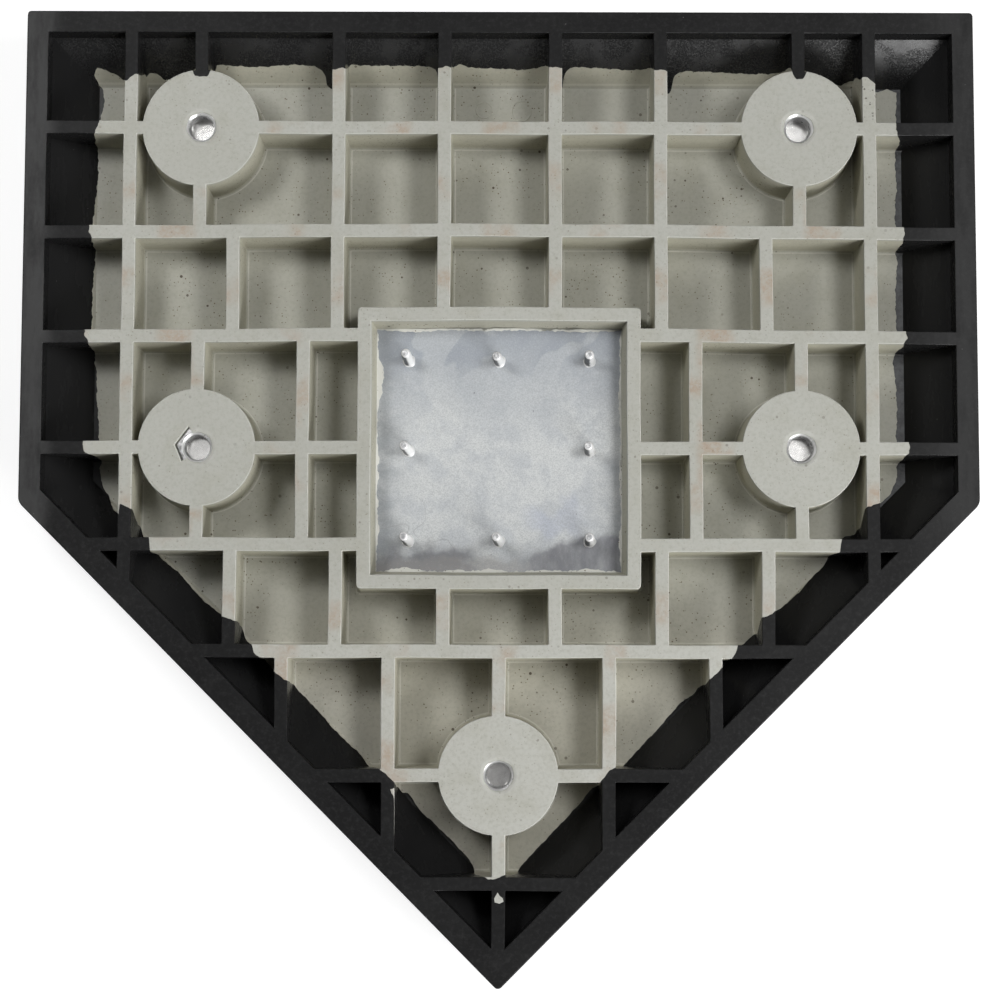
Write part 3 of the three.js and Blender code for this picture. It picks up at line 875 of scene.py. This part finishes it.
def white_rubber():
    p = Paint("white_rubber")
    blotch = p.noise(60, 4, 0.6)
    grain = p.noise(520, 4, 0.75)
    below_lip = p.step(p.z, TOP - 0.5, TOP - 4)
    top = p.step(p.z, TOP - 0.6, TOP - 0.05)
    from_boss = p.nearest(BOSSES.values())
    from_plate = p.math("MAXIMUM", p.math("ABSOLUTE", p.x), p.apart(p.y, ROW_4 * MM))

    # As moulded: blotched and grained. Paler towards the rear. Warmer on the walls and pocket floors: a painted
    # warm tint that stands in for the warm cast of their shade
    p.colour = p.mix(p.span(p.noise(14, 3), 0.3, 0.7), WHITE_DULL, WHITE_CLEAN)
    p.coat(WHITE_WARM_SHADE, below_lip, p.step(p.z, FLOOR + 0.1, FLOOR + 1.5, 0.35, 1))
    p.coat(p.mix(below_lip, WHITE_REAR, WHITE_REAR_WARM_SHADE), p.step(p.y, -30, -100, 0, 0.5))
    p.coat(WHITE_BLOTCH, p.span(blotch, 0.45, 0.75, 0, 0.3))
    p.coat(WHITE_GRAIN, p.span(grain, 0.42, 0.75, 0, 0.4))

    # Brown smudges on the rib tops, clear of the bosses, the frame and the point
    def wave(value, start):
        turned = p.times(p.math("SUBTRACT", value, start * MM), math.pi / (SMUDGE_PITCH * MM))
        return p.math("ABSOLUTE", p.math("COSINE", turned))
    midway = p.math("MAXIMUM", wave(p.x, 0), wave(p.y, ROW_1 - SMUDGE_PITCH / 2))
    patchy = p.span(p.noise(34, 3), 0.42, 0.62, 0, 0.75)
    speckled = p.span(p.noise(380, 4, 0.7), 0.3, 0.65, 0.25, 1)
    clear = p.times(
        p.step(from_boss, BOSS_RADIUS + 0.25, BOSS_RADIUS + 4.25),
        p.step(from_plate, FRAME_HALF + 1.2, FRAME_HALF + 5.2), p.step(p.y, -185, -175),
    )
    p.coat(SMUDGE, p.span(midway, 0.78, 0.97), patchy, speckled, clear, top)

    # Painted highlights: pale rings on the dished lips round the inserts, pale lines along both edges of the
    # fillet at the foot of the walls, and along the lips
    ring = p.times(
        p.step(from_boss, SKIN_HOLE - 0.5, SKIN_HOLE + 0.7),
        p.step(from_boss, SKIN_MOUTH + 1, SKIN_MOUTH - 0.8, 0, 0.35),
    )
    p.coat(WHITE_RING_HIGHLIGHT, ring, p.span(p.noise(130, 2), 0.35, 0.65), top)
    # Painted highlights along the lower and upper edges of the fillet
    p.coat(WHITE_FILLET_HIGHLIGHT, p.band(FLOOR + 0.04, FLOOR + 0.16, 0.03, 0.55))
    p.coat(WHITE_FILLET_HIGHLIGHT, p.band(FLOOR + 1.3, FLOOR + 1.9, 0.2, 0.4))
    # Painted highlight along the rounded lips, kept off the insert mouths
    beyond = p.step(from_boss, SKIN_MOUTH + 0.1, SKIN_MOUTH + 0.8, 0.1, 1)
    p.coat(WHITE_LIP_HIGHLIGHT, p.band(TOP - 0.4, TOP - 0.05, 0.04, 0.5), beyond)

    # Torn film on the steel plate's edge, painted paler: partly its own whiter tone, partly painted light. Above
    # it at the front and on the right, a painted shadow line in the crease at the foot of the wall
    torn = p.step(from_plate, RECESS_HALF - 0.4, RECESS_HALF - 1)
    p.coat(WHITE_FILM_AND_LIGHT, torn, p.step(p.z, PLATE_TOP + 2.4, PLATE_TOP + 0.7, 0, 0.75), p.step(p.z, 12, 18))
    # Painted shadow line in the crease where the wall meets the film
    wavy = p.swayed(p.z, p.noise(110, 3), 0.005)
    foot_shadow = p.times(
        p.step(wavy, PLATE_TOP + 0.7, PLATE_TOP + 1.3), p.step(wavy, PLATE_TOP + 3.6, PLATE_TOP + 2.4),
        p.span(p.noise(45, 2), 0.4, 0.56, 0.15, 0.8),
    )
    side = p.math("MAXIMUM", p.step(p.y, 78, 82), p.step(p.x, 58, 61, 0, 0.6))
    p.coat(FOOT_SHADOW, foot_shadow, side, p.step(from_plate, RECESS_HALF + 2.5, RECESS_HALF + 2))

    # Dirt, thinner on the rib tops, and a pitted patch at the front right
    dirt = p.times(p.span(p.noise(30, 3), 0.34, 0.6, 0.15, 1), p.span(below_lip, 0, 1, 0.4, 0.9))
    p.coat(DIRT, p.specks(620, 0.25, 0.8), dirt)
    p.coat(DARK_DIRT, p.specks(210, 0.17, 0.4), dirt)
    p.coat(PITS, p.step(p.distance(p.place, 185.8, 200, TOP), 14, 4.9), p.specks(650, 0.4, 0.6), 0.8)
    rough = p.span(blotch, 0.3, 0.7, 0.55, 0.7)
    normal = p.bump(p.noise(160, 2), 0.15, 0.5, p.bump(grain, 0.06, 0.5))
    return p.finish(rough, normal, specular=0.3)


BLACK_DEEP = (0.009, 0.009, 0.0092)
BLACK_PALE = (0.013, 0.013, 0.0132)
BLACK_POCKET = (0.018, 0.018, 0.0183)
BLACK_WORN = (0.05,) * 3
BLACK_SCUFF = (0.03,) * 3
BLACK_GRIT = (0.075,) * 3
BLACK_DUST = (0.085, 0.088, 0.093)
BLACK_FLECK = (0.3, 0.3, 0.29)


def black_rubber():
    p = Paint("black_rubber")
    streak = p.noise(120, 4, 0.65, stretch=(1, 0.25, 1))
    foot = p.step(p.z, TOP - 0.5, TOP - 0.05)
    facing = p.add("ShaderNodeSeparateXYZ", {0: p.add("ShaderNodeNewGeometry").outputs["True Normal"]}).outputs

    # As moulded, a little paler off the flat foot
    p.colour = p.mix(p.span(p.noise(20, 4, 0.6), 0.35, 0.7), BLACK_DEEP, BLACK_PALE)
    p.coat(BLACK_POCKET, p.span(foot, 1, 0, 0, 0.6))

    # Wear on the foot: both side edges, scuffs and grit
    edges = p.math("MAXIMUM", p.step(p.x, -222, -232), p.step(p.x, 200, 236, 0, 0.5))
    p.coat(BLACK_WORN, edges, foot, p.span(streak, 0.3, 0.65, 0.3, 1.1))
    p.coat(BLACK_SCUFF, p.span(p.noise(80, 6, 0.75), 0.52, 0.75, 0, 0.4), foot)
    p.coat(BLACK_GRIT, p.span(p.noise(420, 4, 0.75), 0.44, 0.76, 0, 0.2), foot)

    # Dust on the pocket floors at the right, and pale flecks
    floors = p.times(p.span(facing[2], 0.9, 0.98), p.step(p.z, FLOOR + 1.5, FLOOR + 0.5), p.step(p.x, 180, 195))
    p.coat(BLACK_DUST, floors, p.span(p.noise(260, 4, 0.7), 0.35, 0.65, 0.45, 1))
    p.coat(BLACK_FLECK, p.specks(300, 0.12, 0.05), 0.35)

    # The slope inside the front rim shines where no dust lies on it
    dust = p.times(p.span(p.noise(1100, 2, 0.8), 0.36, 0.56), p.span(p.noise(48, 3), 0.4, 0.54, 0.2, 1))
    polished = p.times(p.span(facing[1], -0.4, -0.6), p.span(facing[2], 0.4, 0.6))
    shine = p.math("ADD", p.times(polished, p.span(dust, 0, 1, 0.7, 0.1)), 0.13)
    rough = p.math("ADD", p.span(streak, 0.3, 0.75, 0.24, 0.3), p.times(foot, 0.25))
    normal = p.bump(p.noise(220, 3), 0.08, 0.4, p.bump(p.noise(1000, 3, 0.7), 0.03, 0.4))
    return p.finish(rough, normal, specular=shine)


ZINC_PALE = (0.63, 0.645, 0.64)
ZINC_COOL = (0.52, 0.54, 0.555)
ZINC_BLUE = (0.29, 0.317, 0.36)
ZINC_FADED = (0.52, 0.54, 0.55)
ZINC_SMEAR = (0.27, 0.29, 0.315)
ZINC_LINE = (0.2, 0.2, 0.205)
ZINC_DARK = (0.16, 0.16, 0.18)
ZINC_GREY = (0.17, 0.172, 0.185)
ZINC_BROWN = (0.31, 0.295, 0.285)
ZINC_WIPED = (0.42, 0.455, 0.56)
ZINC_PITS = (0.28, 0.295, 0.31)
ZINC_GLINT = (0.78, 0.79, 0.8)
ZINC_SPOTS = (0.12, 0.12, 0.13)


def galvanised():
    p = Paint("galvanised_steel")
    mottle = p.noise(75, 4, 0.6)
    fine = p.noise(1500, 3, 0.75)
    wander = p.noise(34, 3, 0.55)
    height = p.swayed(p.y, wander, 0.045)
    inset = p.swayed(p.x, wander, 0.027)
    ragged_low = p.swayed(p.y, mottle, 0.02)

    # Zinc: bluer towards the front, faded there in clouds, smeared along both sides
    p.colour = p.mix(p.span(mottle, 0.38, 0.64), ZINC_PALE, ZINC_COOL)
    p.coat(ZINC_BLUE, p.step(height, 36, 78, 0, 0.85))
    faded = p.span(p.noise(30, 2, 0.45, distortion=0.8), 0.53, 0.56, 0, 0.5)
    p.coat(ZINC_FADED, faded, p.step(p.y, 24, 40))
    sides = p.math("MAXIMUM", p.step(inset, -40, -62, 0, 0.75), p.step(inset, 52, 66, 0, 0.5))
    p.coat(ZINC_SMEAR, sides, p.span(p.noise(70, 4, 0.6, stretch=(0.4, 1, 1)), 0.4, 0.6, 0.4, 1))

    # Rear half: a thin line on the left, dark, grey and brown tide marks along the edge, a wiped patch
    line = p.apart(p.noise(36, 1.5, 0.5, distortion=0.5), 0.5)
    p.coat(ZINC_LINE, p.span(line, 0.006, 0.002, 0, 0.4), p.step(p.y, 6, -8), p.step(p.x, -4, -20))
    tide = p.math("SUBTRACT", ragged_low, p.step(p.x, 8, 56, -0.029, -0.0195))
    streaks = p.span(p.noise(110, 4, 0.7, stretch=(1, 0.4, 1)), 0.3, 0.6, 0.7, 1)
    p.coat(ZINC_DARK, p.step(tide, 2, -4, 0, 0.9), p.step(p.x, 4, 22), streaks)
    patchy = p.span(p.noise(60, 4, 0.6), 0.38, 0.58, 0.3, 1)
    p.coat(ZINC_GREY, p.step(ragged_low, -23.5, -32, 0, 0.9), p.step(p.x, -6, -18), patchy)
    p.coat(ZINC_BROWN, p.step(ragged_low, -30, -36, 0, 0.6), p.step(p.x, 20, 6))
    across, along = p.apart(p.x, 28.0 * MM), p.apart(height, -12.0 * MM)
    p.coat(ZINC_WIPED, p.step(across, 20, 8, 0, 0.45), p.step(along, 9, 3))

    # Fine pits, glints and spots
    p.coat(ZINC_PITS, p.span(fine, 0.4, 0.68, 0, 0.5))
    p.coat(ZINC_GLINT, p.span(fine, 0.44, 0.3, 0, 0.15))
    p.coat(ZINC_SPOTS, p.specks(230, 0.12, 0.12), 0.5)
    normal = p.bump(p.noise(24, 2), 0.4, 0.3, p.bump(fine, 0.03, 0.5))
    return p.finish(p.span(mottle, 0.3, 0.7, 0.42, 0.58), normal, metallic=0.3)


STUD_SHADED_SIDE = (0.09, 0.095, 0.1)
STUD_LIT_SIDE = (0.95, 0.95, 0.94)
STUD_EDGE = (0.85,) * 3
STUD_TIP = (0.35, 0.355, 0.36)
DISC_BRIGHT = (0.9, 0.891, 0.873)
DISC_DULL = (0.756, 0.747, 0.729)
THREAD_PALE = (0.5,) * 3
THREAD_DARK = (0.34, 0.34, 0.335)
MOUTH_BRIGHT = (0.88, 0.88, 0.87)
NUT_BRIGHT = (0.75,) * 3
NUT_DULL = (0.25,) * 3


def stud_steel():
    """Stud: painted light and shade, bright on the side facing the lamps at +x and dark on the other, with a pale
    edge round a duller tip.
    """
    p = Paint("stud_steel")
    normal = p.add("ShaderNodeNewGeometry").outputs["Normal"]
    across, _, upward = p.add("ShaderNodeSeparateXYZ", {0: normal}).outputs
    patch = p.noise(420, 3, 0.6)
    # Painted light and shade: the side facing +x is painted bright, the side facing away dark
    p.colour = p.mix(p.span(p.swayed(across, patch, 0.5), -0.15, 0.3), STUD_SHADED_SIDE, STUD_LIT_SIDE)
    p.coat(STUD_EDGE, p.span(upward, 0.25, 0.45))
    p.coat(STUD_TIP, p.span(upward, 0.9, 0.98), p.step(p.z, TOP - 4, TOP - 2), p.span(patch, 0.35, 0.6))
    rough = p.span(patch, 0.3, 0.7, 0.3, 0.45)
    return p.finish(rough, p.bump(patch, 0.05, 0.4), metallic=0.25)


def disc_steel():
    """Disc behind a nut, the bright floor of the threaded hole."""
    p = Paint("insert_floor")
    patch = p.noise(220, 3)
    p.colour = p.mix(p.span(patch, 0.35, 0.7), DISC_BRIGHT, DISC_DULL)
    rough = p.span(p.noise(900, 3, 0.7), 0.3, 0.7, 0.1615, 0.228)
    return p.finish(rough, p.bump(patch, 0.02, 0.3), metallic=0.8)


def nut_steel():
    """Nut: dark in the thread, bright on the countersunk mouth, dull in patches on the flat top."""
    p = Paint("insert_steel")
    reach = p.nearest(BOSSES.values())
    patch = p.noise(260, 3)
    p.colour = p.mix(p.span(patch, 0.35, 0.7), THREAD_PALE, THREAD_DARK)
    p.coat(MOUTH_BRIGHT, p.step(reach, NUT_BORE, NUT_BORE + 0.25))
    p.coat(p.mix(p.span(patch, 0.4, 0.6), NUT_BRIGHT, NUT_DULL), p.step(reach, NUT_MOUTH, NUT_MOUTH + 0.3))
    rough = p.span(patch, 0.3, 0.7, 0.26, 0.36)
    return p.finish(rough, p.bump(patch, 0.02, 0.3), metallic=0.7)


def dress(obj, material):
    obj.data.materials.clear()
    obj.data.materials.append(material)


# Rubber moulding

moulding = piece("moulding", [outside()])
cutter = piece("pockets", pockets())
boolean(cutter, piece("bowl", [rim_bowl()]), "INTERSECT")
boolean(moulding, cutter, "DIFFERENCE")
hollows = [recess()] + [insert_hollow(x, y) for x, y in BOSSES.values()]
boolean(moulding, piece("hollows", hollows), "DIFFERENCE")
seat = loft([(square(PLATE_SEAT_HALF, ROW_4), z) for z in (PLATE_BOTTOM, PLATE_TOP + 0.02)])
boolean(moulding, piece("seats", [seat, bare_hexagon(*BOSSES["middle_left"])]), "DIFFERENCE")
boolean(moulding, piece("marks", [mould_ring(*ring) for ring in MOULD_RINGS]), "UNION")
divider = piece("divider", [parting()])
boolean(divider, piece("chips", stray_chips()), "UNION")

for name, operation, node, slot, material in (
    ("white_body", "INTERSECT", "white_rubber_body", "white_rubber", white_rubber()),
    ("black_edge", "DIFFERENCE", "black_rubber_edge", "black_rubber", black_rubber()),
):
    obj = bpy.data.objects.new(name, moulding.data.copy())
    bpy.context.scene.collection.objects.link(obj)
    boolean(obj, divider, operation, keep=True)
    smooth(obj)
    dress(obj, material)
    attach(obj, "root")
    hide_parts(node)
for obj in (moulding, divider):
    bpy.data.objects.remove(obj, do_unlink=True)

# Steel pieces

shiny = stud_steel()
insert_steel = nut_steel()
insert_floor = disc_steel()
dress(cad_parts["steel_plate"], galvanised())

for name, (x, y) in BOSSES.items():
    obj = piece(f"nut_{name}", [nut(x, y)])
    smooth(obj, 28.0)
    dress(obj, insert_steel)
    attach(obj, "root")
    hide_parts(f"insert_nut_{name}")
    dress(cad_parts[f"insert_disc_{name}"], insert_floor)

SIGN = {"front": 1, "middle": 0, "rear": -1, "left": -1, "centre": 0, "right": 1}
for name, lean in STUD_LEANS.items():
    row, place = name.split("_")
    foot = (SIGN[place] * STUD_PITCH, ROW_4 + SIGN[row] * STUD_PITCH)
    obj = piece(f"pin_{row}_{place}", [stud(*foot, *lean)])
    smooth(obj, 50.0)
    dress(obj, shiny)
    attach(obj, "root")
    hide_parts(f"stud_{row}_{place}")

# Stage: pale floor, soft light, camera

FLOOR_HALF = 3000.0
FLOOR_HEIGHTS = (-20.0, -0.3)
FLOOR_TONE = (0.5, 0.5, 0.5, 1)
GLOW_FROM, GLOW_TO = 450.0, 1100.0
GLOW_NEAR, GLOW_FAR = 0.75, 1.0
SHEEN = 0.25
FILL = 0.005
WHITE = (1, 1, 1, 1)

# Lamps aimed at the middle: azimuth and elevation in degrees, distance, width and height in metres, level
LAMPS = {
    "right": (16.0, 61.0, 1.5, 0.6, 0.35, 0.37),
    "front_right": (-48.0, 27.0, 1.4, 0.8, 0.8, 0.88),
    "left": (144.0, 50.0, 0.85, 0.22, 0.2, 0.3),
}

scene = bpy.context.scene
floor = piece("floor", [loft([(square(FLOOR_HALF), z) for z in FLOOR_HEIGHTS])])
pale = Paint("pale_floor")
path = pale.add("ShaderNodeLightPath").outputs
seen = pale.math("ADD", path["Is Camera Ray"], path["Is Glossy Ray"], clamp=True)
seen = pale.math("ADD", seen, path["Is Transmission Ray"], clamp=True)
away = pale.add("ShaderNodeVectorMath", {0: pale.place}, operation="LENGTH").outputs["Value"]
level = pale.times(seen, pale.step(away, GLOW_FROM, GLOW_TO, GLOW_NEAR, GLOW_FAR))
glow = pale.add("ShaderNodeEmission", {"Color": WHITE, "Strength": level})
matte = pale.add("ShaderNodeBsdfDiffuse", {"Color": FLOOR_TONE})
both = pale.add("ShaderNodeAddShader", {0: glow.outputs[0], 1: matte.outputs[0]})
pale.add("ShaderNodeOutputMaterial", {"Surface": both.outputs[0]})
dress(floor, pale.material)

world = bpy.data.worlds.new("studio")
scene.world = world
world.use_nodes = True
sky = Nodes(world.node_tree)
path = sky.add("ShaderNodeLightPath").outputs
level = sky.math("MULTIPLY_ADD", path["Is Glossy Ray"], SHEEN, FILL)
level = sky.math("ADD", level, path["Is Camera Ray"])
backdrop = sky.add("ShaderNodeBackground", {"Color": WHITE, "Strength": level})
sky.add("ShaderNodeOutputWorld", {"Surface": backdrop.outputs[0]})


def softbox(name, place, aim, width, height, level):
    """Light panel; at level 1 it alone would light a facing surface at that surface's own colour."""
    data = bpy.data.lights.new(name, "AREA")
    data.shape = "RECTANGLE"
    data.size = width
    data.size_y = height
    lamp = bpy.data.objects.new(name, data)
    scene.collection.objects.link(lamp)
    back = np.array(place, float) - np.array(aim, float)
    distance = np.linalg.norm(back)
    data.energy = level * (math.pi * distance) ** 2
    back = back / distance
    side = unit(np.cross((0.0, 0.0, 1.0), back))
    up = np.cross(back, side)
    lamp.matrix_world = Matrix([(side[i], up[i], back[i], place[i]) for i in range(3)] + [(0, 0, 0, 1)])


for name, (azimuth, elevation, distance, *panel) in LAMPS.items():
    a, e = math.radians(azimuth), math.radians(elevation)
    place = distance * np.array((math.cos(e) * math.cos(a), math.cos(e) * math.sin(a), math.sin(e)))
    softbox(name, place, (0.0, 0.0, 0.0), *panel)
softbox("ceiling", (0.0, 0.41, 1.7), (0.0, 0.4, 0.0), 0.95, 0.6, 0.042)

lens = bpy.data.cameras.new("camera")
lens.sensor_width = SENSOR
lens.lens = LENS
lens.clip_start = 0.05
camera = bpy.data.objects.new("camera", lens)
scene.collection.objects.link(camera)
turned = Matrix.Rotation(math.radians(ROLL), 4, "Z") @ Matrix.Rotation(math.radians(TILT), 4, "X")
camera.matrix_world = Matrix.Translation([c * MM for c in EYE]) @ turned.transposed()
scene.camera = camera
scene.view_settings.view_transform = "Standard"
